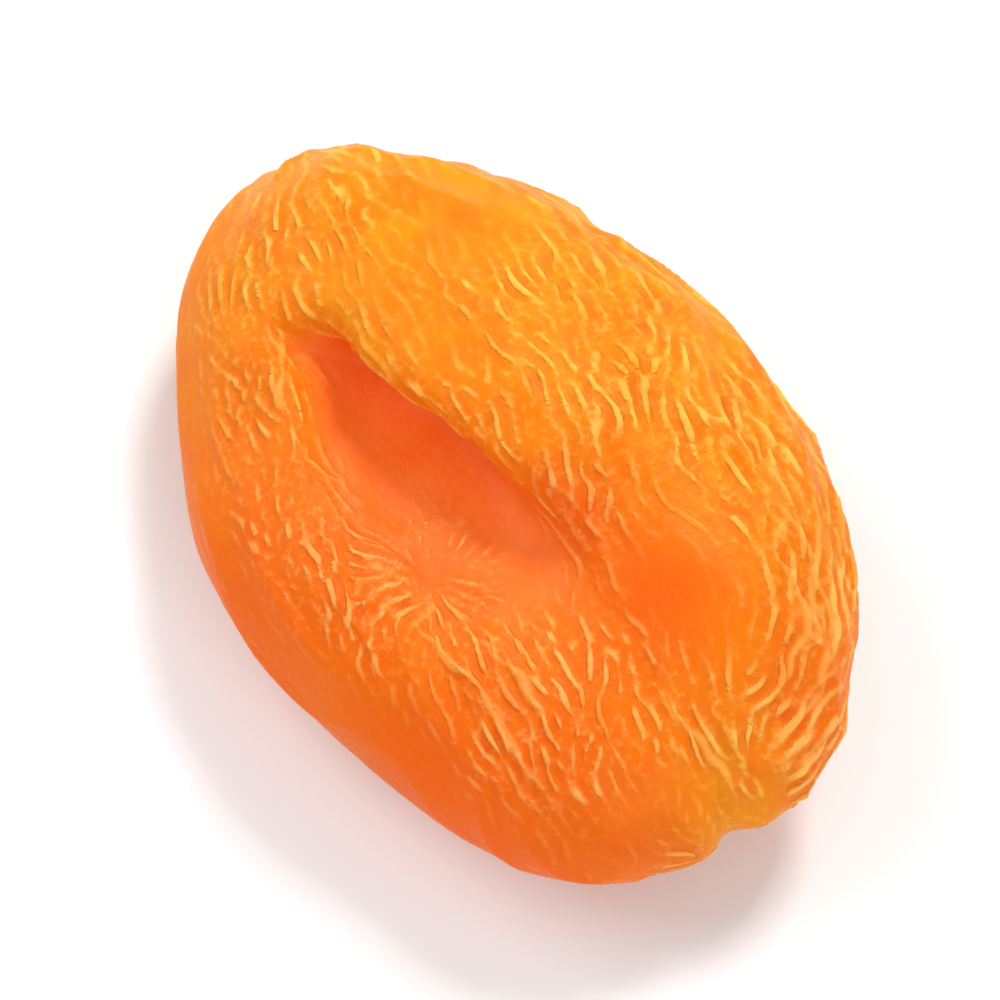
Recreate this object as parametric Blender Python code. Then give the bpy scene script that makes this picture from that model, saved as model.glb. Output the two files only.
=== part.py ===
"""A whole pitted dried apricot, lying flat with its folded side up.

The fruit is one pressed, dried body. Seen from above it is an oval, blunt at -X and notched at the
stem end, +X. Its +Y side is a fat lobe whose lip hangs over the sunken hollow that the stone left,
and its -Y side is a lower rim that slopes gently into the hollow. Units are metres, +Z is up, and
the origin is on the floor under the middle of the fruit's box.
"""
import math

import bmesh
import bpy
import numpy as np

MM = 0.001

# Driving sizes of the fruit
LENGTH = 41.4 * MM
WIDTH = 28.2 * MM
RIM_HEIGHT = 5.6 * MM
BELLY_DEPTH = 5.6 * MM
CROWN_HEIGHT = 6.6 * MM
LOBE_EXTRA = 1.9 * MM
RIM_WAVE = 0.6 * MM
RIM_WAVE_PHASE = 0.4
RIM_SHORT_WAVE = 0.5
END_TAPER = 0.12
FLAT_SPOT_DEPTH = 0.2 * MM

# Outline seen from above: waves in the oval as count, share of the radius and phase in degrees
OUTLINE_WAVES = ((1, 0.025, 92), (2, 0.039, -92), (3, 0.018, -169), (4, 0.012, -69),
                 (5, 0.017, 163), (6, 0.011, 95), (7, 0.010, 17))
TOP_ROUNDNESS = 3.1
BELLY_ROUNDNESS = 2.5
LOBE_FOOT = -5.0 * MM
LOBE_RISE = 11.0 * MM

# Lip and hollow: "along" follows the lip to +X, "across" points to the lobe, and the floor's values
# are shares of the hollow's width
LIP_TURN = math.radians(5.5)
LIP_START = -14.2 * MM
LIP_FULL = -8.0 * MM
LIP_FADE = -3.0 * MM
LIP_END = 13.0 * MM
LIP_ACROSS = 0.05 * MM
LIP_DRIFT = 1.8 * MM
LIP_SWAY = 0.15 * MM
LIP_SWAY_LENGTH = 8.4 * MM
LIP_SWAY_START = -4.1 * MM
LIP_ROLL = 2.5 * MM
LIP_HALF_WALL = 2.5 * MM
LIP_SWELL = 0.5 * MM
LIP_RIM_FADE = 6
NOSE_PLACE = 0.6 * LIP_HALF_WALL
NOSE_SPREAD = 0.8 * LIP_HALF_WALL
SWELL_PLACE = 1.6 * LIP_HALF_WALL
SWELL_SPREAD = 1.2 * LIP_HALF_WALL
HOLLOW_DEPTH = 4.1 * MM
HOLLOW_NARROWEST = 1.2 * MM
HOLLOW_WIDEST = 8.2 * MM
HOLLOW_TIP = -16.5 * MM
HOLLOW_SPLAY = 0.57
FLOOR_FLAT = 0.15
FLOOR_CLIMB = 1.2
CREST_HEIGHT = 0.6 * MM
CREST_HALF_WIDTH = 1.1 * MM
CREST_MIDDLE = -10.6 * MM
CREST_HALF_LENGTH = 3.0 * MM

# Notch beside the stem scar, on the outline at +X
NOTCH_ANGLE = math.radians(-11)
NOTCH_DEPTH = 0.7 * MM
NOTCH_HALF_WIDTH = math.radians(4.5)

# Relief of the dried skin
FOLD_HEIGHT = 0.42 * MM
FOLD_SPACING = 3.4 * MM
FOLD_STRETCH = 3.0
FOLD_BEND = 0.35
FOLD_BEND_LENGTH = 6.0 * MM
FOLD_TURN = math.radians(-24)
FOLD_SHARPNESS = 2.2
FOLD_IN_MIDDLE = 0.35
FOLD_ON_THIN_SIDE = 0.4
LUMP_HEIGHT = 0.55 * MM
LUMP_SPACING = 11.0 * MM
LUMP_UNDER_BELLY = 0.1
NOISE_GAIN = 1.6
SEED = 9593

# Faces along each edge of the cube that is rounded into the fruit
CUBE_FACES = 28
POLE_SPREAD = 0.15


def soft_step(value):
    """0 below 0, 1 above 1, and a smooth S between them."""
    held = np.clip(value, 0.0, 1.0)
    return held * held * (3.0 - 2.0 * held)


def bump(value):
    """A smooth bell, 1 at 0 and close to 0 beyond 2 either way."""
    return np.exp(-value * value)


def gradient_noise(points, seed):
    """Seeded gradient noise, about -1 to 1, at points given in cells."""
    random = np.random.default_rng(seed)
    order = np.tile(random.permutation(256), 2)
    slopes = random.normal(size=(256, 3))
    slopes /= np.linalg.norm(slopes, axis=1, keepdims=True)
    cell = np.floor(points).astype(int)
    inside = points - cell
    fade = inside ** 3 * (inside * (inside * 6.0 - 15.0) + 10.0)
    total = np.zeros(len(points))
    for corner in np.ndindex(2, 2, 2):
        at = (cell + corner) % 256
        pick = order[order[order[at[:, 0]] + at[:, 1]] + at[:, 2]]
        value = np.sum(slopes[pick] * (inside - corner), axis=1)
        weight = np.prod(np.where(corner, fade, 1.0 - fade), axis=1)
        total += value * weight
    return NOISE_GAIN * total


def cube_directions(mesh):
    """Unit directions of the vertices of a cube of half size 1, spread at equal angles."""
    corners = np.array([vertex.co[:] for vertex in mesh.verts])
    spread = np.tan(corners * math.pi / 4.0)
    return spread / np.linalg.norm(spread, axis=1, keepdims=True)


def pillow(directions):
    """Plain pillow: an oval outline with a rounded crown and belly, before the hollow."""
    polar = np.arccos(np.clip(directions[:, 2], -1.0, 1.0))
    polar = polar - POLE_SPREAD * np.sin(2.0 * polar)
    turn = np.arctan2(directions[:, 1], directions[:, 0])
    reach = np.sin(polar)
    outline = np.ones(len(turn))
    for count, share, phase in OUTLINE_WAVES:
        outline += share * np.cos(count * turn - math.radians(phase))
    notch = bump((turn - NOTCH_ANGLE) / NOTCH_HALF_WIDTH)
    outline -= NOTCH_DEPTH / (LENGTH / 2.0) * notch
    x = LENGTH / 2.0 * outline * reach * np.cos(turn)
    y = WIDTH / 2.0 * outline * reach * np.sin(turn)

    # The fat lobe is at +Y, and the ends of the fruit are thinner than its middle
    side = soft_step((y - LOBE_FOOT) / LOBE_RISE)
    taper = 1.0 - END_TAPER * (x / (LENGTH / 2.0)) ** 2
    crown = (CROWN_HEIGHT + LOBE_EXTRA * side) * taper * np.sqrt(1.0 - reach ** TOP_ROUNDNESS)
    belly = BELLY_DEPTH * np.sqrt(1.0 - reach ** BELLY_ROUNDNESS)
    sway = np.sin(turn + RIM_WAVE_PHASE) + RIM_SHORT_WAVE * np.sin(3.0 * turn)
    rim = RIM_WAVE * sway * reach ** 3
    is_top = polar < math.pi / 2.0
    z = RIM_HEIGHT + rim + np.where(is_top, crown, -belly)
    return np.stack([x, y, z], axis=1), is_top, reach


def turned(points, angle):
    """The points' distances along and across a direction turned by an angle in plan."""
    along = points[:, 0] * math.cos(angle) + points[:, 1] * math.sin(angle)
    across = points[:, 1] * math.cos(angle) - points[:, 0] * math.sin(angle)
    return along, across


def fold_in_hollow(points, is_top, reach):
    """Sink the hollow beside the lip, and roll the lip out over it."""
    along, across = turned(points, LIP_TURN)
    sway = np.sin(2.0 * math.pi * (along - LIP_SWAY_START) / LIP_SWAY_LENGTH)
    grow = soft_step((along - LIP_START) / (LIP_FULL - LIP_START))
    shrink = 1.0 - soft_step((along - LIP_FADE) / (LIP_END - LIP_FADE))
    strength = grow * shrink * is_top * (1.0 - reach ** LIP_RIM_FADE)
    offset = across - LIP_ACROSS - LIP_SWAY * sway + LIP_DRIFT * (1.0 - grow * shrink)

    # Past the wall the floor climbs slowly to the -Y rim, from a width that opens towards +X
    width = np.clip(HOLLOW_SPLAY * (along - HOLLOW_TIP), HOLLOW_NARROWEST, HOLLOW_WIDEST)
    wall = soft_step(0.5 - offset / (2.0 * LIP_HALF_WALL))
    floor = 1.0 - soft_step((-offset / width - FLOOR_FLAT) / FLOOR_CLIMB)
    drop = HOLLOW_DEPTH * strength * wall * floor

    # The nose of the lip moves out and the foot of its wall moves in, so that the lip overhangs
    nose = bump((offset - NOSE_PLACE) / NOSE_SPREAD)
    foot = bump((offset + NOSE_PLACE) / NOSE_SPREAD)
    roll = LIP_ROLL * strength ** 2 * (foot - nose)
    swell = LIP_SWELL * strength * bump((offset - SWELL_PLACE) / SWELL_SPREAD)

    # A low crest parts the hollow from the rim at the blunt end
    crest = CREST_HEIGHT * bump((offset + width) / CREST_HALF_WIDTH) * is_top
    swell += crest * bump((along - CREST_MIDDLE) / CREST_HALF_LENGTH)
    moved = points.copy()
    moved[:, 0] -= math.sin(LIP_TURN) * roll
    moved[:, 1] += math.cos(LIP_TURN) * roll
    moved[:, 2] += swell - drop
    return moved


def skin_relief(points, is_top, reach):
    """Height of the dried skin's lumps and folds above the plain form, calm where it lies."""
    calm = np.where(is_top, 1.0, LUMP_UNDER_BELLY + (1.0 - LUMP_UNDER_BELLY) * reach ** 2)
    lumps = LUMP_HEIGHT * calm * gradient_noise(points / LUMP_SPACING, SEED)
    stream, cross = turned(points, FOLD_TURN)
    cells = np.stack([stream / FOLD_STRETCH, cross, points[:, 2]], axis=1) / FOLD_SPACING
    cells[:, 1] += FOLD_BEND * gradient_noise(points / FOLD_BEND_LENGTH, SEED + 1)
    ridges = 1.0 - FOLD_SHARPNESS * np.abs(gradient_noise(cells, SEED + 2))
    fat_side = soft_step((points[:, 1] - LOBE_FOOT) / LOBE_RISE)
    share = FOLD_IN_MIDDLE + (1.0 - FOLD_IN_MIDDLE) * reach ** 2
    share *= FOLD_ON_THIN_SIDE + (1.0 - FOLD_ON_THIN_SIDE) * fat_side
    return lumps + FOLD_HEIGHT * ridges * share


def fruit_points(directions):
    """Points of the fruit's skin for unit directions, with the floor at height 0."""
    points, is_top, reach = pillow(directions)
    half_sizes = np.array([LENGTH / 2.0, WIDTH / 2.0, CROWN_HEIGHT + LOBE_EXTRA])
    outward = (points - np.array([0.0, 0.0, RIM_HEIGHT])) / half_sizes ** 2
    outward /= np.linalg.norm(outward, axis=1, keepdims=True)
    folded = fold_in_hollow(points, is_top, reach)
    folded += outward * skin_relief(folded, is_top, reach)[:, None]
    folded[:, 2] -= FLAT_SPOT_DEPTH + folded[:, 2].min()
    folded[:, 2] = np.maximum(folded[:, 2], 0.0)
    middle = (folded[:, :2].max(axis=0) + folded[:, :2].min(axis=0)) / 2.0
    folded[:, :2] -= middle
    return folded


def apricot_material():
    """Satin orange dried flesh."""
    material = bpy.data.materials.new("dried_apricot_skin")
    material.use_nodes = True
    shader = material.node_tree.nodes["Principled BSDF"]
    shader.inputs["Base Color"].default_value = (0.90, 0.23, 0.025, 1.0)
    shader.inputs["Roughness"].default_value = 0.48
    shader.inputs["Metallic"].default_value = 0.0
    return material


def add_dried_apricot():
    """One closed body: a finely divided cube moved onto the fruit's skin."""
    mesh = bmesh.new()
    bmesh.ops.create_cube(mesh, size=2.0)
    bmesh.ops.subdivide_edges(mesh, edges=mesh.edges[:], cuts=CUBE_FACES - 1, use_grid_fill=True)
    skin = fruit_points(cube_directions(mesh))
    for vertex, place in zip(mesh.verts, skin):
        vertex.co = place
    bmesh.ops.triangulate(mesh, faces=mesh.faces[:], quad_method="SHORT_EDGE")
    bmesh.ops.recalc_face_normals(mesh, faces=mesh.faces[:])
    data = bpy.data.meshes.new("dried_apricot")
    mesh.to_mesh(data)
    mesh.free()
    data.shade_smooth()
    fruit = bpy.data.objects.new("dried_apricot", data)
    fruit.data.materials.append(apricot_material())
    bpy.context.scene.collection.objects.link(fruit)


for old in list(bpy.data.objects):
    bpy.data.objects.remove(old, do_unlink=True)
add_dried_apricot()
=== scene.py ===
"""Looks of a whole pitted dried apricot: its wrinkled skin, its translucent flesh and soft light.

Units are metres, +Z is up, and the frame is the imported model's own. The fruit lies on its belly with
its stem end at +X, its fat lobe at +Y and its folded side up.
"""
import math

import bpy
import numpy as np
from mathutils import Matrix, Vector


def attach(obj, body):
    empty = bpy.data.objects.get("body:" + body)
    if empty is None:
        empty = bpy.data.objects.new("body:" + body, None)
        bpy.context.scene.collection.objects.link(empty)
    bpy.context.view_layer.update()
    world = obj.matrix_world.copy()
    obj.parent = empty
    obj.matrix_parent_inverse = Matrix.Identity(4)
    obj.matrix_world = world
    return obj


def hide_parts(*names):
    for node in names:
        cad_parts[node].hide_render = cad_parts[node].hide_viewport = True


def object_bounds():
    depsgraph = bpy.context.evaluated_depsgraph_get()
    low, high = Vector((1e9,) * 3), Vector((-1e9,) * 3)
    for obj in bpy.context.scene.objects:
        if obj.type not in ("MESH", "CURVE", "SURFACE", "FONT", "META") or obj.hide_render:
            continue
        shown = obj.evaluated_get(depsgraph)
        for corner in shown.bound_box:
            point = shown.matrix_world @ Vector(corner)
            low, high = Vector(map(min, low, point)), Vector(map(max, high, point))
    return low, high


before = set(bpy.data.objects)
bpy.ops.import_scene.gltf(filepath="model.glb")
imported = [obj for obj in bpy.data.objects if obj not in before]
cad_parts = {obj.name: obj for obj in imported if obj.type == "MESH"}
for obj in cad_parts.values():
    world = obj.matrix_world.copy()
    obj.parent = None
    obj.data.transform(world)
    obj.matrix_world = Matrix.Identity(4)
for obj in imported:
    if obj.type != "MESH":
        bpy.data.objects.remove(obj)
solid_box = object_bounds()
MM = 0.001

# The pressed body of the fruit. A ripe apricot was split at the stem end, its stone squeezed out and
# the halves pressed together again, so it dried into one pillow of flesh: an oval with a full crown,
# a flatter belly, one fat side, and a notch beside the stem scar where the opening shrank.
LENGTH = 41.4 * MM
WIDTH = 28.2 * MM
RIM_HEIGHT = 5.6 * MM
BELLY_DEPTH = 5.6 * MM
CROWN_HEIGHT = 6.6 * MM
LOBE_EXTRA = 1.9 * MM
RIM_WAVE = 0.6 * MM
RIM_WAVE_PHASE = 0.4
RIM_SHORT_WAVE = 0.5
END_TAPER = 0.12
FLAT_SPOT_DEPTH = 0.2 * MM
OUTLINE_WAVES = ((1, 0.025, 92), (2, 0.039, -92), (3, 0.018, -169), (4, 0.012, -69),
                 (5, 0.017, 163), (6, 0.011, 95), (7, 0.010, 17))
TOP_ROUNDNESS = 3.1
BELLY_ROUNDNESS = 2.5
LOBE_FOOT = -5.0 * MM
LOBE_RISE = 11.0 * MM
NOTCH_ANGLE = math.radians(-11)
NOTCH_DEPTH = 0.7 * MM
NOTCH_HALF_WIDTH = math.radians(4.5)
GRID = 312
TOP_SHARE = 0.15
ARC_SHARE = 0.118


def soft_step(value):
    """0 below 0, 1 above 1, and 3 t squared less 2 t cubed between them."""
    held = np.clip(value, 0.0, 1.0)
    return held * held * (3.0 - 2.0 * held)


def bump(value):
    """The bell e to the minus value squared."""
    return np.exp(-value * value)


def folded_square(across, up):
    """Polar and turning angle of the point of a sphere that a square sheet puts there.

    The sum of the two distances from the sheet's middle runs from 0 at the top pole, past 1 near the
    rim, to 2 at the belly's pole. The share of one distance in the sum turns a quarter circle in
    each quadrant, so the four corners of the sheet meet under the belly.
    """
    total = np.abs(across) + np.abs(up)
    ring = np.where(total <= 1.0, total, 2.0 - total)
    outer = total > 1.0
    x = np.where(outer, np.copysign(1.0 - np.abs(up), across), across)
    y = np.where(outer, np.copysign(1.0 - np.abs(across), up), up)
    quarter = 0.5 * math.pi * np.abs(y) / np.maximum(ring, 1e-9)
    turn = np.arctan2(np.copysign(np.sin(quarter), y), np.copysign(np.cos(quarter), x))
    depth = total - TOP_SHARE * total * (2.0 - total)
    polar = 0.5 * math.pi * depth - ARC_SHARE * np.sin(math.pi * depth)
    return polar, turn


def pillow(polar, turn):
    """The pillow before the hollow: x and y follow the oval times its waves times sin(polar).

    Height above the rim is the crown or belly times the root of 1 less sin(polar) to a power, and
    the rim itself sways up and down round the fruit.
    """
    reach = np.sin(polar)
    outline = np.ones(len(turn))
    for count, share, phase in OUTLINE_WAVES:
        outline += share * np.cos(count * turn - math.radians(phase))
    outline -= NOTCH_DEPTH / (LENGTH / 2.0) * bump((turn - NOTCH_ANGLE) / NOTCH_HALF_WIDTH)
    x = LENGTH / 2.0 * outline * reach * np.cos(turn)
    y = WIDTH / 2.0 * outline * reach * np.sin(turn)
    side = soft_step((y - LOBE_FOOT) / LOBE_RISE)
    taper = 1.0 - END_TAPER * (x / (LENGTH / 2.0)) ** 2
    crown = (CROWN_HEIGHT + LOBE_EXTRA * side) * taper * np.sqrt(1.0 - reach ** TOP_ROUNDNESS)
    belly = BELLY_DEPTH * np.sqrt(1.0 - reach ** BELLY_ROUNDNESS)
    sway = np.sin(turn + RIM_WAVE_PHASE) + RIM_SHORT_WAVE * np.sin(3.0 * turn)
    rim = RIM_WAVE * sway * reach ** 3
    is_top = polar < math.pi / 2.0
    z = RIM_HEIGHT + rim + np.where(is_top, crown, -belly)
    return np.stack([x, y, z], axis=1), is_top, reach


# The lip and the hollow. Where the stone was, the top sank in beside the fat side, whose edge rolled
# over it as a lip. The floor of the hollow is smooth inner skin, and it climbs to the thin side.
LIP_TURN = math.radians(5.5)
LIP_START = -14.2 * MM
LIP_FULL = -8.0 * MM
LIP_FADE = -3.0 * MM
LIP_END = 13.0 * MM
LIP_ACROSS = 0.05 * MM
LIP_DRIFT = 1.8 * MM
LIP_SWAY = 0.15 * MM
LIP_SWAY_LENGTH = 8.4 * MM
LIP_SWAY_START = -4.1 * MM
LIP_ROLL = 2.5 * MM
LIP_HALF_WALL = 2.5 * MM
LIP_SWELL = 0.5 * MM
LIP_RIM_FADE = 6
NOSE_PLACE = 0.6 * LIP_HALF_WALL
NOSE_SPREAD = 0.8 * LIP_HALF_WALL
SWELL_PLACE = 1.6 * LIP_HALF_WALL
SWELL_SPREAD = 1.2 * LIP_HALF_WALL
HOLLOW_DEPTH = 4.1 * MM
HOLLOW_NARROWEST = 1.2 * MM
HOLLOW_WIDEST = 8.2 * MM
HOLLOW_TIP = -16.5 * MM
HOLLOW_SPLAY = 0.57
FLOOR_FLAT = 0.15
FLOOR_CLIMB = 1.2
CREST_HEIGHT = 0.6 * MM
CREST_HALF_WIDTH = 1.1 * MM
CREST_MIDDLE = -10.6 * MM
CREST_HALF_LENGTH = 3.0 * MM


def turned(points, angle):
    """Distances along and across a direction that is turned by an angle in plan."""
    along = points[:, 0] * math.cos(angle) + points[:, 1] * math.sin(angle)
    across = points[:, 1] * math.cos(angle) - points[:, 0] * math.sin(angle)
    return along, across


def fold_in_hollow(points, is_top, reach):
    """Sink the floor by a soft step across the lip's line, and roll the lip over it.

    The nose of the lip moves out by one bell and the foot of its wall moves in by another, and the
    lip's strength fades in from the blunt end and out towards the stem end.
    """
    along, across = turned(points, LIP_TURN)
    sway = np.sin(2.0 * math.pi * (along - LIP_SWAY_START) / LIP_SWAY_LENGTH)
    grow = soft_step((along - LIP_START) / (LIP_FULL - LIP_START))
    shrink = 1.0 - soft_step((along - LIP_FADE) / (LIP_END - LIP_FADE))
    strength = grow * shrink * is_top * (1.0 - reach ** LIP_RIM_FADE)
    offset = across - LIP_ACROSS - LIP_SWAY * sway + LIP_DRIFT * (1.0 - grow * shrink)
    width = np.clip(HOLLOW_SPLAY * (along - HOLLOW_TIP), HOLLOW_NARROWEST, HOLLOW_WIDEST)
    wall = soft_step(0.5 - offset / (2.0 * LIP_HALF_WALL))
    floor = 1.0 - soft_step((-offset / width - FLOOR_FLAT) / FLOOR_CLIMB)
    sunken = strength * wall * floor
    nose = bump((offset - NOSE_PLACE) / NOSE_SPREAD)
    foot = bump((offset + NOSE_PLACE) / NOSE_SPREAD)
    roll = LIP_ROLL * strength ** 2 * (foot - nose)
    swell = LIP_SWELL * strength * bump((offset - SWELL_PLACE) / SWELL_SPREAD)
    crest = CREST_HEIGHT * bump((offset + width) / CREST_HALF_WIDTH) * is_top
    swell += crest * bump((along - CREST_MIDDLE) / CREST_HALF_LENGTH)
    moved = points.copy()
    moved[:, 0] -= math.sin(LIP_TURN) * roll
    moved[:, 1] += math.cos(LIP_TURN) * roll
    moved[:, 2] += swell - HOLLOW_DEPTH * sunken
    return moved, sunken


# The lumps and folds of the dried body. As the water left, the flesh shrank unevenly and its skin
# fell into soft folds that run aslant the long side, and it stayed flat where it lay on the tray.
FOLD_HEIGHT = 0.42 * MM
FOLD_SPACING = 3.4 * MM
FOLD_STRETCH = 3.0
FOLD_BEND = 0.35
FOLD_BEND_LENGTH = 6.0 * MM
FOLD_TURN = math.radians(-24)
FOLD_SHARPNESS = 2.2
FOLD_IN_MIDDLE = 0.35
FOLD_ON_THIN_SIDE = 0.4
LUMP_HEIGHT = 0.55 * MM
LUMP_SPACING = 11.0 * MM
LUMP_UNDER_BELLY = 0.1
NOISE_CELLS = 256
NOISE_GAIN = 1.6
SEED = 9593

# The sheet's points crowd together at the lip's steep wall, in shares of the fruit's half width
CROWD_PLACE = 0.16
CROWD_SPREAD = 0.24
CROWD_SHARE = 0.4


def gradient_noise(points, seed):
    """Seeded gradient noise, about -1 to 1, at points given in cells.

    Each corner of a point's cell has a random slope, and the eight slopes are blended by quintic
    steps of the point's place in the cell.
    """
    random = np.random.default_rng(seed)
    order = np.tile(random.permutation(NOISE_CELLS), 2)
    slopes = random.normal(size=(NOISE_CELLS, 3))
    slopes /= np.linalg.norm(slopes, axis=1, keepdims=True)
    cell = np.floor(points).astype(int)
    inside = points - cell
    fade = inside ** 3 * (inside * (inside * 6.0 - 15.0) + 10.0)
    total = np.zeros(len(points))
    for corner in np.ndindex(2, 2, 2):
        at = (cell + corner) % NOISE_CELLS
        pick = order[order[order[at[:, 0]] + at[:, 1]] + at[:, 2]]
        value = np.sum(slopes[pick] * (inside - corner), axis=1)
        weight = np.prod(np.where(corner, fade, 1.0 - fade), axis=1)
        total += value * weight
    return NOISE_GAIN * total


def skin_relief(points, is_top, reach):
    """Lumps plus folds, where a fold is 1 less the size of noise stretched along its run."""
    calm = np.where(is_top, 1.0, LUMP_UNDER_BELLY + (1.0 - LUMP_UNDER_BELLY) * reach ** 2)
    lumps = LUMP_HEIGHT * calm * gradient_noise(points / LUMP_SPACING, SEED)
    stream, cross = turned(points, FOLD_TURN)
    cells = np.stack([stream / FOLD_STRETCH, cross, points[:, 2]], axis=1) / FOLD_SPACING
    cells[:, 1] += FOLD_BEND * gradient_noise(points / FOLD_BEND_LENGTH, SEED + 1)
    ridges = 1.0 - FOLD_SHARPNESS * np.abs(gradient_noise(cells, SEED + 2))
    fat_side = soft_step((points[:, 1] - LOBE_FOOT) / LOBE_RISE)
    share = FOLD_IN_MIDDLE + (1.0 - FOLD_IN_MIDDLE) * reach ** 2
    share *= FOLD_ON_THIN_SIDE + (1.0 - FOLD_ON_THIN_SIDE) * fat_side
    return lumps + FOLD_HEIGHT * ridges * share


def crowded_at_lip(polar, turn):
    """Shift top points across the lip by minus x times a bell of x, so that they lie closer there."""
    east, north = np.sin(polar) * np.cos(turn), np.sin(polar) * np.sin(turn)
    from_nose = (north - math.tan(LIP_TURN) * east * LENGTH / WIDTH - CROWD_PLACE) / CROWD_SPREAD
    inside = np.where(polar < math.pi / 2.0, 1.0 - np.sin(polar) ** 2, 0.0)
    north = north - CROWD_SHARE * CROWD_SPREAD * from_nose * bump(from_nose) * inside
    on_top = np.arcsin(np.clip(np.hypot(east, north), 0.0, 1.0))
    return np.where(polar < math.pi / 2.0, on_top, polar), np.arctan2(north, east)


sheet = np.linspace(-1.0, 1.0, GRID + 1)
sheet_across, sheet_up = np.meshgrid(sheet, sheet, indexing="ij")
polar, turn = folded_square(sheet_across.ravel(), sheet_up.ravel())

# The sheet's border closes under the belly: each point there is the same as its mirror image
numbers = np.arange((GRID + 1) ** 2).reshape(GRID + 1, GRID + 1)
half = GRID // 2
numbers[0, half + 1:] = numbers[0, :half][::-1]
numbers[-1, half + 1:] = numbers[-1, :half][::-1]
numbers[half + 1:, 0] = numbers[:half, 0][::-1]
numbers[half + 1:, -1] = numbers[:half, -1][::-1]
used, place_of = np.unique(numbers, return_inverse=True)
place_of = place_of.reshape(numbers.shape)
quads = np.stack([place_of[:-1, :-1], place_of[1:, :-1], place_of[1:, 1:], place_of[:-1, 1:]], axis=-1)
quads = quads.reshape(-1, 4)

polar, turn = crowded_at_lip(polar[used], turn[used])
plain, is_top, reach = pillow(polar, turn)
half_sizes = np.array([LENGTH / 2.0, WIDTH / 2.0, CROWN_HEIGHT + LOBE_EXTRA])
outward = (plain - np.array([0.0, 0.0, RIM_HEIGHT])) / half_sizes ** 2
outward /= np.linalg.norm(outward, axis=1, keepdims=True)
body, sunken = fold_in_hollow(plain, is_top, reach)
body += outward * skin_relief(body, is_top, reach)[:, None]

fruit_mesh = bpy.data.meshes.new("apricot_flesh")
fruit_mesh.from_pydata(body, [], quads)
fruit_mesh.shade_smooth()
normals = np.empty(len(body) * 3)
fruit_mesh.vertex_normals.foreach_get("vector", normals)
normals = normals.reshape(-1, 3)

# The wrinkles. The outer skin puckered into thin crests, pale partly from drying and partly as painted
# highlight, which run aslant the fruit, turn along the rim at the stem end, and gather into a rosette
# round a dimple beside the hollow. The skin stayed nearly smooth in the hollow, low on the thin side,
# under the belly and on a few patches of the top.
WRINKLE_HEIGHT = 0.105 * MM
WRINKLE_SPACING = 0.95 * MM
THIN_SIDE_CLOSER = 0.22
ROSETTE_CLOSER = 0.08
WRINKLE_WANDER = math.radians(28)
WANDER_LENGTH = 8.0 * MM
WRINKLE_CURL = math.radians(26)
CURL_LENGTH = 2.4 * MM
STRAIGHTER_RAYS = 0.5
STEM_SIDE_MIDDLE = math.radians(36)
STEM_SIDE_FROM = 0.62
STEM_SIDE_FADE = 0.34
RIM_FROM = 0.66
RIM_FADE = 0.24
TRAIN_REACH = 1.9 * MM
TRAIN_THINNESS = 1.6
TRAIN_LEAN = math.radians(15)
TRAINS_PER_CELL = 2
PUCKER_HEIGHT = 0.08 * MM
PUCKER_SPACING = 2.2 * MM
PUCKER_REACH = 2.0 * TRAIN_REACH
CREST_SHARPNESS = 2.5
CREST_START = 0.9
CREST_PER_CRUMPLE = 1.4
OUTER_RIM_FROM = 0.8
OUTER_RIM_FADE = 0.15
OUTER_RIM_LOWER = 0.45

# The dimple and the rosette of rays round it
DIMPLE_PLACE = np.array([2.0, -5.6]) * MM
DIMPLE_DEPTH = 0.55 * MM
DIMPLE_NARROWER = 2.0
SMOOTH_IN_DIMPLE = 0.22
ROSETTE_FULL = 2.9 * MM
ROSETTE_FADE = 2.6 * MM
RAYS_END = 1.4
RAYS_FADE = 0.5
RAYS_SINK_GAIN = 1.7
RAYS_CALM_IN_HOLLOW = 0.7
AGREEMENT_GAIN = 3.0

# How crumpled the skin is: uneven patches, the rim at the stem end, and the smooth places
PATCH_LENGTH = 6.0 * MM
PATCH_MIDDLE = 0.72
PATCH_SWING = 0.6
PATCH_LEAST = 0.2
PATCH_MOST = 1.15
FLAT_PLACE = np.array([10.5, 1.5]) * MM
FLAT_REACH = 3.6 * MM
FLAT_CALM = 0.85
SUNNY_PLACE = np.array([-11.6, 6.4]) * MM
SUNNY_REACH = 4.8 * MM
SUNNY_CALM = 0.8
RED_PLACE = np.array([4.8, 0.4]) * MM
RED_REACH = 2.8 * MM
STEM_PLACE = np.array([20.2, -2.2]) * MM
STEM_REACH = 3.0 * MM
STEM_CALM = 0.5
LIP_BAND_MIDDLE = np.array([-5.0, 1.6]) * MM
LIP_BAND_HALF_LENGTH = 8.0 * MM
LIP_BAND_HALF_WIDTH = 1.5 * MM
LIP_BAND_CALM = 0.6
HOLLOW_SINK_GAIN = 1.6
HOLLOW_CALM = 0.82
LOW_SIDE_FROM = 0.84
LOW_SIDE_FADE = 0.13
LOW_SIDE_TURN = 0.3
LOW_SIDE_START = 0.05
LOW_SIDE_GROW = 0.35
LOW_SIDE_CALM = 0.75
BELLY_FROM = 0.97
BELLY_FADE = 0.2
BELLY_CALM = 0.55
USUAL_CRUMPLE = 0.85
RIM_CRUMPLE = 0.4
THIN_SIDE_CALM = 0.1

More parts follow.
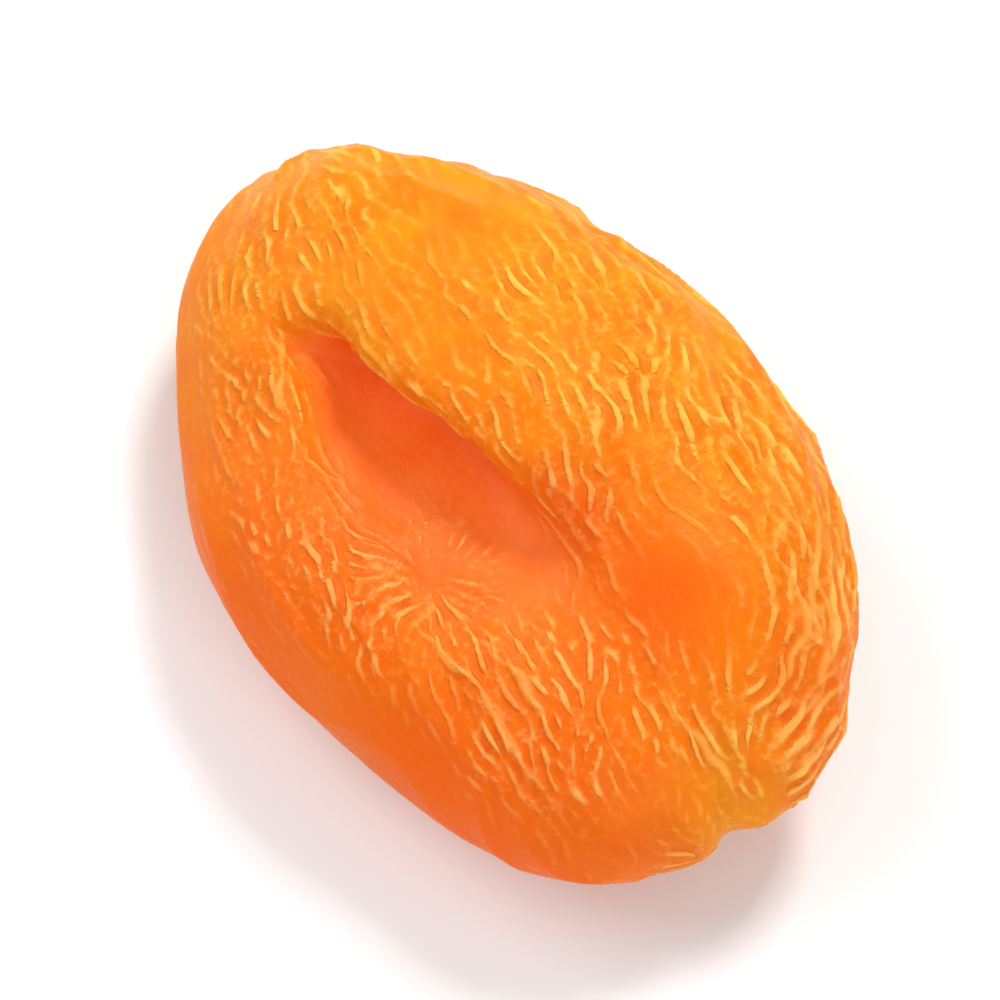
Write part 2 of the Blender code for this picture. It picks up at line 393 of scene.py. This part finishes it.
# The long ridges in millimetres, clearest of the wrinkles, and how they waver and break off
LONG_RIDGES = (((-13.8, -2.8), (-11.3, -4.0), (-9.1, -5.7), (-6.3, -6.7), (-3.3, -5.8)),
               ((3.7, -8.2), (5.6, -8.5), (8.3, -8.1), (10.8, -8.6), (13.1, -9.4)),
               ((6.2, -6.6), (9.0, -6.5), (12.2, -7.2)),
               ((11.0, 6.4), (13.3, 6.0), (15.0, 5.9), (16.1, 5.1), (17.4, 1.9), (17.2, 0.5)),
               ((8.5, 8.4), (13.0, 8.0), (16.4, 6.6), (18.4, 4.0), (18.9, 1.2)),
               ((14.0, -2.4), (16.9, -1.9), (19.6, -2.1)))
RIDGE_HEIGHT = 0.18 * MM
RIDGE_HALF_WIDTH = 0.21 * MM
RIDGE_NOWHERE = 4.0
RIDGE_END_MARGIN = 0.06
RIDGE_END_DROP = 1.4
RIDGE_WAVER = 0.25 * MM
RIDGE_WAVER_LENGTH = 1.4 * MM
RIDGE_GAP_GAIN = 1.5
RIDGE_GAP_LENGTH = 1.8 * MM

# Ripeness rises from the sunny upper side of the lobe to the low side, in a wavering slope
RIPE_DIRECTION = math.radians(-72)
RIPE_MIDDLE = 0.43
RIPE_LENGTH = 27.0 * MM
RIPE_SWING = 0.15
RIPE_SWING_LENGTH = 7.0 * MM
FLAT_RIPER = 0.45
RED_RIPER = 0.5
STEM_LESS_RIPE = 0.7
RIM_RIPER = 0.2


def wrinkle_angle(points, reach, turn):
    """Plan angle of the wrinkles, how far the rim and the rosette rule it, and how far these agree.

    They run aslant and wander with noise, but along the rim near the stem end and away from the
    dimple in the rosette. Directions blend as unit numbers with twice the angle, which have no sign,
    so the size of the blend is 1 where the directions agree and 0 where they cancel out.
    """
    wander = gradient_noise(points / WANDER_LENGTH, SEED + 5)
    curl = gradient_noise(points / CURL_LENGTH, SEED + 10)
    stem_side = soft_step((np.cos(turn - STEM_SIDE_MIDDLE) - STEM_SIDE_FROM) / STEM_SIDE_FADE)
    near_rim = soft_step((reach - RIM_FROM) / RIM_FADE) * stem_side
    from_dimple = points[:, :2] - DIMPLE_PLACE
    in_rosette = soft_step(1.0 - (np.linalg.norm(from_dimple, axis=1) - ROSETTE_FULL) / ROSETTE_FADE)
    in_rosette *= points[:, 2] > RIM_HEIGHT
    slant = FOLD_TURN + WRINKLE_WANDER * wander
    along_rim = np.arctan2(-np.cos(turn) * WIDTH, np.sin(turn) * LENGTH)
    outward_ray = np.arctan2(from_dimple[:, 1], from_dimple[:, 0])
    doubled = np.exp(2j * slant) * (1.0 - near_rim) + np.exp(2j * along_rim) * near_rim
    doubled = doubled * (1.0 - in_rosette) + np.exp(2j * outward_ray) * in_rosette
    angle = np.angle(doubled) / 2.0 + WRINKLE_CURL * (1.0 - STRAIGHTER_RAYS * in_rosette) * curl
    return angle, near_rim, in_rosette, np.abs(doubled)


def wave_trains(points, run, across, reach, spacing, seed):
    """Sum of short wave trains with random centres, each a cosine under a bell, with a spread of 1.

    The waves are a spacing apart, across each point's run or turned a little from that at random. A
    train fades to nothing at its reach along the run, and sooner across it.
    """
    random = np.random.default_rng(seed)
    order = np.tile(random.permutation(NOISE_CELLS), 2)
    centres = random.random((NOISE_CELLS, TRAINS_PER_CELL, 3))
    signs = random.choice([-1.0, 1.0], (NOISE_CELLS, TRAINS_PER_CELL))
    leans = random.normal(size=(NOISE_CELLS, TRAINS_PER_CELL)) * TRAIN_LEAN
    cell_points = points / reach
    cell = np.floor(cell_points).astype(int)
    total = np.zeros(len(points))
    for step in np.ndindex(3, 3, 3):
        near = cell + np.array(step) - 1
        at = near % NOISE_CELLS
        pick = order[order[order[at[:, 0]] + at[:, 1]] + at[:, 2]]
        for train in range(TRAINS_PER_CELL):
            away = cell_points - near - centres[pick, train]
            up, level = np.sum(away * across, axis=1), np.sum(away * run, axis=1)
            far = np.sum(away * away, axis=1) + TRAIN_THINNESS * up * up
            lean = leans[pick, train]
            climb = (up * np.cos(lean) + level * np.sin(lean)) * reach / spacing
            bell = np.clip(1.0 - far, 0.0, 1.0) ** 2
            total += bell * signs[pick, train] * np.cos(2.0 * math.pi * climb)
    return total / total.std()


def ridge_distance(points, lines):
    """Least plan distance to runs of straight stretches, in half widths, plus more at their ends.

    What is added at an end is the drop times 1 less the root of a half sine wave along the run.
    """
    nearest = np.full(len(points), RIDGE_NOWHERE)
    for line in lines:
        corners = np.array(line) * MM
        count = len(corners) - 1
        for index, (start, end) in enumerate(zip(corners[:-1], corners[1:])):
            stretch = end - start
            share = np.clip((points[:, :2] - start) @ stretch / (stretch @ stretch), 0.0, 1.0)
            away = np.linalg.norm(points[:, :2] - start - share[:, None] * stretch, axis=1)
            along = RIDGE_END_MARGIN + (1.0 - 2.0 * RIDGE_END_MARGIN) * (index + share) / count
            ending = 1.0 - np.sin(math.pi * along) ** 0.5
            nearest = np.minimum(nearest, away / RIDGE_HALF_WIDTH + RIDGE_END_DROP * ending)
    return nearest


def near_place(points, place, reach):
    """The bell of each point's plan distance from a place, in reaches."""
    return bump(np.linalg.norm(points[:, :2] - place, axis=1) / reach)


angle, near_rim, in_rosette, agreement = wrinkle_angle(body, reach, turn)
across = np.cross(normals, np.stack([np.cos(angle), np.sin(angle), np.zeros(len(angle))], axis=1))
across /= np.maximum(np.linalg.norm(across, axis=1, keepdims=True), 1e-9)
run = np.cross(across, normals)
thin_side = 1.0 - soft_step((body[:, 1] - LOBE_FOOT) / LOBE_RISE)
spacing = WRINKLE_SPACING * (1.0 - THIN_SIDE_CLOSER * thin_side - ROSETTE_CLOSER * in_rosette)
wrinkle = wave_trains(body, run, across, TRAIN_REACH, spacing, SEED + 6)
puckers = wave_trains(body, run, across, PUCKER_REACH, PUCKER_SPACING, SEED + 7)

# How crumpled each point is, from 0 to about 1
patches = PATCH_MIDDLE + PATCH_SWING * gradient_noise(body / PATCH_LENGTH, SEED + 8)
patches = np.clip(patches, PATCH_LEAST, PATCH_MOST)
on_flat = near_place(body, FLAT_PLACE, FLAT_REACH) * is_top
on_sunny = near_place(body, SUNNY_PLACE, SUNNY_REACH) * is_top
on_red = near_place(body, RED_PLACE, RED_REACH) * is_top
on_stem = near_place(body, STEM_PLACE, STEM_REACH)
lip_along, lip_across = turned(body, LIP_TURN)
on_lip = bump((lip_across - LIP_BAND_MIDDLE[1]) / LIP_BAND_HALF_WIDTH)
on_lip *= bump((lip_along - LIP_BAND_MIDDLE[0]) / LIP_BAND_HALF_LENGTH) * is_top
patches *= (1.0 - FLAT_CALM * on_flat) * (1.0 - SUNNY_CALM * on_sunny)
patches *= (1.0 - LIP_BAND_CALM * on_lip) * (1.0 - STEM_CALM * on_stem)
low_side = soft_step((-np.sin(turn + LOW_SIDE_TURN) - LOW_SIDE_START) / LOW_SIDE_GROW)
low_side *= soft_step((reach - LOW_SIDE_FROM) / LOW_SIDE_FADE)
crumple = patches * (1.0 - HOLLOW_CALM * soft_step(HOLLOW_SINK_GAIN * sunken))
crumple *= 1.0 - LOW_SIDE_CALM * low_side
crumple *= USUAL_CRUMPLE + RIM_CRUMPLE * near_rim - THIN_SIDE_CALM * thin_side
dimple_far = np.linalg.norm(body[:, :2] - DIMPLE_PLACE, axis=1) / ROSETTE_FULL
rays = in_rosette * soft_step((RAYS_END - dimple_far) / RAYS_FADE)
rays *= 1.0 - RAYS_CALM_IN_HOLLOW * soft_step(RAYS_SINK_GAIN * sunken)
crumple += (1.0 - crumple) * rays
crumple *= 1.0 - bump(dimple_far / SMOOTH_IN_DIMPLE) * is_top
crumple *= soft_step(AGREEMENT_GAIN * agreement)
crumple *= np.where(is_top, 1.0, 1.0 - BELLY_CALM * soft_step((BELLY_FROM - reach) / BELLY_FADE))

# The ridges waver, and stretches of them are missing
waver = np.stack([gradient_noise(body / RIDGE_WAVER_LENGTH, SEED + 12),
                  gradient_noise(body / RIDGE_WAVER_LENGTH, SEED + 13)], axis=1)
from_ridge = ridge_distance(body[:, :2] + RIDGE_WAVER * waver, LONG_RIDGES)
from_ridge += soft_step(-RIDGE_GAP_GAIN * gradient_noise(body / RIDGE_GAP_LENGTH, SEED + 15))

# Crests stand up sharp from flat ground: the log of 1 plus e to the sharpened lift
lifted = wrinkle + CREST_PER_CRUMPLE * crumple - CREST_START
crests = np.log1p(np.exp(CREST_SHARPNESS * lifted)) / CREST_SHARPNESS
relief = crumple * (WRINKLE_HEIGHT * crests + PUCKER_HEIGHT * puckers)
relief += RIDGE_HEIGHT * bump(from_ridge) * is_top
relief *= 1.0 - OUTER_RIM_LOWER * soft_step((reach - OUTER_RIM_FROM) / OUTER_RIM_FADE)
relief -= DIMPLE_DEPTH * bump(DIMPLE_NARROWER * dimple_far) * is_top
skin = body + normals * relief[:, None]

# The fruit lies on the floor inside the solid's box, flat where it rests
skin[:, 2] -= FLAT_SPOT_DEPTH + skin[:, 2].min()
skin[:, 2] = np.maximum(skin[:, 2], 0.0)
middle = (skin.max(axis=0) + skin.min(axis=0)) / 2.0
skin[:, :2] += (np.array(solid_box[0])[:2] + np.array(solid_box[1])[:2]) / 2.0 - middle[:2]

# Each square of the sheet is split along the corners whose wrinkle heights differ least
heights = relief[quads]
falls = np.abs(heights[:, 0] - heights[:, 2]) <= np.abs(heights[:, 1] - heights[:, 3])

# At the four ends of the closed border the split runs through the end, so that no two faces coincide
border_ends = place_of[[0, -1, half, half], [half, half, 0, -1]]
at_end = np.isin(quads, border_ends)
falls = np.where(at_end.any(axis=1), at_end[:, 0] | at_end[:, 2], falls)
one_way, other_way = quads[:, [[0, 1, 2], [0, 2, 3]]], quads[:, [[1, 2, 3], [1, 3, 0]]]
triangles = np.where(falls[:, None, None], one_way, other_way)
fruit_mesh.clear_geometry()
fruit_mesh.from_pydata(skin, [], triangles.reshape(-1, 3))
fruit_mesh.shade_smooth()


def add_number(mesh, name, values):
    """Store one number for each point of the skin, for its material to read."""
    layer = mesh.attributes.new(name, "FLOAT", "POINT")
    layer.data.foreach_set("value", values.astype(np.float32))


ripe = RIPE_MIDDLE + turned(skin, RIPE_DIRECTION)[0] / RIPE_LENGTH
ripe += RIPE_SWING * gradient_noise(skin / RIPE_SWING_LENGTH, SEED + 9)
ripe += FLAT_RIPER * on_flat + RED_RIPER * on_red - STEM_LESS_RIPE * on_stem + RIM_RIPER * near_rim
add_number(fruit_mesh, "lifted", lifted)
add_number(fruit_mesh, "from_ridge", np.where(is_top, from_ridge, RIDGE_NOWHERE))
add_number(fruit_mesh, "crumple", np.clip(crumple, 0.0, 1.0))
add_number(fruit_mesh, "sunken", np.clip(sunken, 0.0, 1.0))
add_number(fruit_mesh, "ripe", np.clip(ripe, 0.0, 1.0))
fruit_mesh.update()
apricot = bpy.data.objects.new("apricot_flesh", fruit_mesh)
bpy.context.scene.collection.objects.link(apricot)
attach(apricot, "root")
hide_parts("dried_apricot")

# The flesh and its skin. Sulphured dried apricot is translucent orange flesh under a satin skin,
# yellower where it ripened last, redder in the hollow as painted shade and bounced light, darker in
# the creases as painted shade, and pale on the crests partly where they dried hardest and partly as
# painted highlight.
SUNNY_ORANGE = (0.82, 0.320, 0.001, 1.0)
RIPE_ORANGE = (0.85, 0.128, 0.003, 1.0)
# Painted shade and bounced light: the red of light scattered inside the hollow
HOLLOW_SHADE_AND_BOUNCE_ORANGE = (0.93, 0.200, 0.032, 1.0)
# Crest colours: the pale of dried skin, also used as painted highlight on crests and long ridges
CREST_YELLOW = (1.00, 0.56, 0.070, 1.0)
CREST_PEACH = (1.00, 0.41, 0.115, 1.0)
# Painted shade for the creases between the wrinkles
CREASE_SHADE_ORANGE = (0.70, 0.11, 0.003, 1.0)
MOTTLE_SCALE = 420.0
MOTTLE_DETAIL = 3.0
MOTTLE_SHARE = (1.6, -0.6)
GRAIN_SCALE = 2600.0
GRAIN_DETAIL = 4.0
DRY_SCALE = 330.0
DRY_DETAIL = 2.0
DRY_EDGES = (0.38, 0.62)
PALENESS = (0.55, 0.4)
HOLLOW_EDGES = (0.1, 0.45)
CRUMPLE_EDGES = (0.0, 0.6)
FRAYING = 2.4
CREST_EDGES = (0.9, 2.8)
CREASE_SHADE_EDGES = (-0.2, 1.2)
RIDGE_EDGES = (0.3, 1.3)
SPECKLE_EDGES = (0.5, 0.72)
SPECKLE_SHARE = 0.3
CREASE_SHADE_SHARE = 0.5
CREST_PALE_AND_HIGHLIGHT_SHARE = 0.9
RIDGE_PALE_AND_HIGHLIGHT_SHARE = 0.5
ROUGHNESS = (0.35, 0.24)
CREST_BUMP_STRENGTH = 1.0
CREST_BUMP_HEIGHT = 0.09 * MM
GRAIN_BUMP_STRENGTH = 0.9
GRAIN_BUMP_HEIGHT = 0.07 * MM
FLESH_GLOW = 0.35
FLESH_GLOW_RADIUS = (1.0, 0.3, 0.1)
FLESH_GLOW_SCALE = 0.9 * MM
SKIN_SHINE = 0.10


def mix_colours(nodes, links, share, first, second):
    """A mix node between two colours, each a plain colour or a socket, by the share socket."""
    mix = nodes.new("ShaderNodeMix")
    mix.data_type = "RGBA"
    links.new(share, mix.inputs[0])
    for socket, colour in ((mix.inputs[6], first), (mix.inputs[7], second)):
        if isinstance(colour, tuple):
            socket.default_value = colour
        else:
            links.new(colour, socket)
    return mix.outputs[2]


def sums(nodes, links, operation, values, held=True):
    """A math node of an operation on sockets or plain numbers, held between 0 and 1 or not."""
    node = nodes.new("ShaderNodeMath")
    node.operation = operation
    node.use_clamp = held
    for socket, value in zip(node.inputs, values):
        if isinstance(value, (int, float)):
            socket.default_value = value
        else:
            links.new(value, socket)
    return node.outputs[0]


def grain_noise(nodes, links, place, scale, detail):
    """A noise texture's value at a scale in cells for each unit of its place."""
    noise = nodes.new("ShaderNodeTexNoise")
    noise.inputs["Scale"].default_value = scale
    noise.inputs["Detail"].default_value = detail
    links.new(place, noise.inputs["Vector"])
    return noise.outputs["Fac"]


def eased(nodes, links, value, edges):
    """0 where the value socket is below the first edge, 1 above the second, a smooth step between."""
    node = nodes.new("ShaderNodeMapRange")
    node.interpolation_type = "SMOOTHSTEP"
    node.inputs["From Min"].default_value = edges[0]
    node.inputs["From Max"].default_value = edges[1]
    links.new(value, node.inputs["Value"])
    return node.outputs["Result"]


def add_bump(nodes, links, height, strength, distance):
    """A bump node of a strength on a height socket, which 1 raises by the distance."""
    node = nodes.new("ShaderNodeBump")
    node.inputs["Strength"].default_value = strength
    node.inputs["Distance"].default_value = distance
    links.new(height, node.inputs["Height"])
    return node


flesh = bpy.data.materials.new("dried_apricot_flesh")
flesh.use_nodes = True
nodes = flesh.node_tree.nodes
links = flesh.node_tree.links
shader = nodes["Principled BSDF"]
place = nodes.new("ShaderNodeTexCoord").outputs["Object"]
skin_numbers = {}
for name in ("lifted", "from_ridge", "crumple", "sunken", "ripe"):
    reader = nodes.new("ShaderNodeAttribute")
    reader.attribute_name = name
    skin_numbers[name] = reader.outputs["Fac"]

# The flesh: yellow to red-orange by ripeness, redder in the hollow as painted shade and bounced
# light, and unevenly mottled
mottle = grain_noise(nodes, links, place, MOTTLE_SCALE, MOTTLE_DETAIL)
body_colour = mix_colours(nodes, links, skin_numbers["ripe"], SUNNY_ORANGE, RIPE_ORANGE)
# Painted shade and bounced light: the sunken floor is coloured redder, as the hollow looks when lit
hollow_shade_and_bounce = eased(nodes, links, skin_numbers["sunken"], HOLLOW_EDGES)
body_colour = mix_colours(nodes, links, hollow_shade_and_bounce, body_colour, HOLLOW_SHADE_AND_BOUNCE_ORANGE)
mottle_share = sums(nodes, links, "MULTIPLY_ADD", [mottle, *MOTTLE_SHARE])
body_colour = mix_colours(nodes, links, mottle_share, body_colour, RIPE_ORANGE)

# The skin: speckles, painted shade in creases, and crests and long ridges pale from drying and painted
# highlight
grain = grain_noise(nodes, links, place, GRAIN_SCALE, GRAIN_DETAIL)
frayed = sums(nodes, links, "MULTIPLY_ADD", [grain, FRAYING, skin_numbers["lifted"]], False)
wrinkled = eased(nodes, links, skin_numbers["crumple"], CRUMPLE_EDGES)
crest = sums(nodes, links, "MULTIPLY", [eased(nodes, links, frayed, CREST_EDGES), wrinkled])
dry = eased(nodes, links, grain_noise(nodes, links, place, DRY_SCALE, DRY_DETAIL), DRY_EDGES)
paleness = sums(nodes, links, "MULTIPLY_ADD", [dry, *PALENESS])
# Painted highlight in part: the crests are lightened like lit tops, on top of their dried paleness
pale_crest_and_highlight = sums(nodes, links, "MULTIPLY", [crest, paleness])
# Painted shade: the low sides of the wrinkles are darkened as if in shadow
crease_shade = sums(nodes, links, "SUBTRACT", [1.0, eased(nodes, links, frayed, CREASE_SHADE_EDGES)])
crease_shade = sums(nodes, links, "MULTIPLY", [crease_shade, skin_numbers["crumple"]])
# The long ridges are lightened the same way, partly dried skin and partly painted highlight
off_ridge = eased(nodes, links, skin_numbers["from_ridge"], RIDGE_EDGES)
ridge = sums(nodes, links, "SUBTRACT", [1.0, off_ridge])
speckle = sums(nodes, links, "MULTIPLY", [eased(nodes, links, grain, SPECKLE_EDGES), wrinkled])
crest_colour = mix_colours(nodes, links, skin_numbers["ripe"], CREST_YELLOW, CREST_PEACH)
for mask, strength, colour in ((speckle, SPECKLE_SHARE, crest_colour),
                               (crease_shade, CREASE_SHADE_SHARE, CREASE_SHADE_ORANGE),
                               (pale_crest_and_highlight, CREST_PALE_AND_HIGHLIGHT_SHARE, crest_colour),
                               (ridge, RIDGE_PALE_AND_HIGHLIGHT_SHARE, crest_colour)):
    share = sums(nodes, links, "MULTIPLY", [mask, strength])
    body_colour = mix_colours(nodes, links, share, body_colour, colour)
links.new(body_colour, shader.inputs["Base Color"])
links.new(sums(nodes, links, "MULTIPLY_ADD", [grain, *ROUGHNESS]), shader.inputs["Roughness"])

crest_bump = add_bump(nodes, links, crest, CREST_BUMP_STRENGTH, CREST_BUMP_HEIGHT)
grain_bump = add_bump(nodes, links, grain, GRAIN_BUMP_STRENGTH, GRAIN_BUMP_HEIGHT)
links.new(crest_bump.outputs["Normal"], grain_bump.inputs["Normal"])
links.new(grain_bump.outputs["Normal"], shader.inputs["Normal"])
shader.inputs["Subsurface Weight"].default_value = FLESH_GLOW
shader.inputs["Subsurface Radius"].default_value = FLESH_GLOW_RADIUS
shader.inputs["Subsurface Scale"].default_value = FLESH_GLOW_SCALE
shader.inputs["Specular IOR Level"].default_value = SKIN_SHINE
fruit_mesh.materials.append(flesh)

# The table: a plain white sheet, far larger than the view.
TABLE_SIZE = 3.0
PAPER_WHITE = (0.93, 0.93, 0.93, 1.0)
PAPER_ROUGHNESS = 0.9
bpy.ops.mesh.primitive_plane_add(size=TABLE_SIZE)
table = bpy.context.object
table.name = "white_table"
paper = bpy.data.materials.new("white_paper")
paper.use_nodes = True
paper_shader = paper.node_tree.nodes["Principled BSDF"]
paper_shader.inputs["Base Color"].default_value = PAPER_WHITE
paper_shader.inputs["Roughness"].default_value = PAPER_ROUGHNESS
table.data.materials.append(paper)

# The camera looks down on the fruit from 65 degrees, from the side of the stem end and the thin side,
# through a long lens, and the fruit fills about three quarters of the picture.
CAMERA_AZIMUTH = math.radians(48.8)
CAMERA_ELEVATION = math.radians(65)
CAMERA_LENS = 135.0
PICTURE_SIZE = 49.0 * MM
SENSOR = 36.0
NEAREST_SEEN = 10.0 * MM
view_from = Vector((math.sin(CAMERA_AZIMUTH) * math.cos(CAMERA_ELEVATION),
                    -math.cos(CAMERA_AZIMUTH) * math.cos(CAMERA_ELEVATION),
                    math.sin(CAMERA_ELEVATION)))
camera_data = bpy.data.cameras.new("camera")
camera_data.lens = CAMERA_LENS
camera_data.sensor_width = SENSOR
camera_data.clip_start = NEAREST_SEEN
camera = bpy.data.objects.new("camera", camera_data)
camera_distance = PICTURE_SIZE * CAMERA_LENS / SENSOR
camera.location = Vector((0.0, 0.0, RIM_HEIGHT)) + view_from * camera_distance
camera.rotation_euler = view_from.to_track_quat("Z", "Y").to_euler()
bpy.context.scene.collection.objects.link(camera)
bpy.context.scene.camera = camera

# The light: a small key panel above and behind the fruit, to the right of the picture, two larger
# panels above its left and its front that soften the shadows, and a white room.
KEY_PLACE = (0.35, 0.65, 0.9)
KEY_DISTANCE = 0.6
KEY_SIZE = 0.15
KEY_WATTS = 1.95
LEFT_PLACE = (-0.9, 0.4, 0.9)
NEAR_PLACE = (0.4, -0.9, 0.7)
FILL_DISTANCE = 0.7
FILL_SIZE = 0.5
LEFT_WATTS = 1.9575
NEAR_WATTS = 1.8125
ROOM_WHITE = (1.0, 1.0, 1.0, 1.0)
ROOM_STRENGTH = 0.46


def add_panel(name, place, distance, size, watts):
    """A square soft light facing the fruit, its place given to the picture's right, away and up."""
    right = Vector((math.cos(CAMERA_AZIMUTH), math.sin(CAMERA_AZIMUTH), 0.0))
    away = Vector((-math.sin(CAMERA_AZIMUTH), math.cos(CAMERA_AZIMUTH), 0.0))
    direction = right * place[0] + away * place[1] + Vector((0.0, 0.0, place[2]))
    data = bpy.data.lights.new(name, "AREA")
    data.size = size
    data.energy = watts
    panel = bpy.data.objects.new(name, data)
    panel.location = direction.normalized() * distance
    panel.rotation_euler = direction.to_track_quat("Z", "Y").to_euler()
    bpy.context.scene.collection.objects.link(panel)


add_panel("key_panel", KEY_PLACE, KEY_DISTANCE, KEY_SIZE, KEY_WATTS)
add_panel("fill_panel", LEFT_PLACE, FILL_DISTANCE, FILL_SIZE, LEFT_WATTS)
add_panel("near_panel", NEAR_PLACE, FILL_DISTANCE, FILL_SIZE, NEAR_WATTS)
room = bpy.data.worlds.new("white_room")
room.use_nodes = True
backdrop = room.node_tree.nodes["Background"]
backdrop.inputs["Color"].default_value = ROOM_WHITE
backdrop.inputs["Strength"].default_value = ROOM_STRENGTH
bpy.context.scene.world = room
bpy.context.scene.view_settings.view_transform = "Standard"
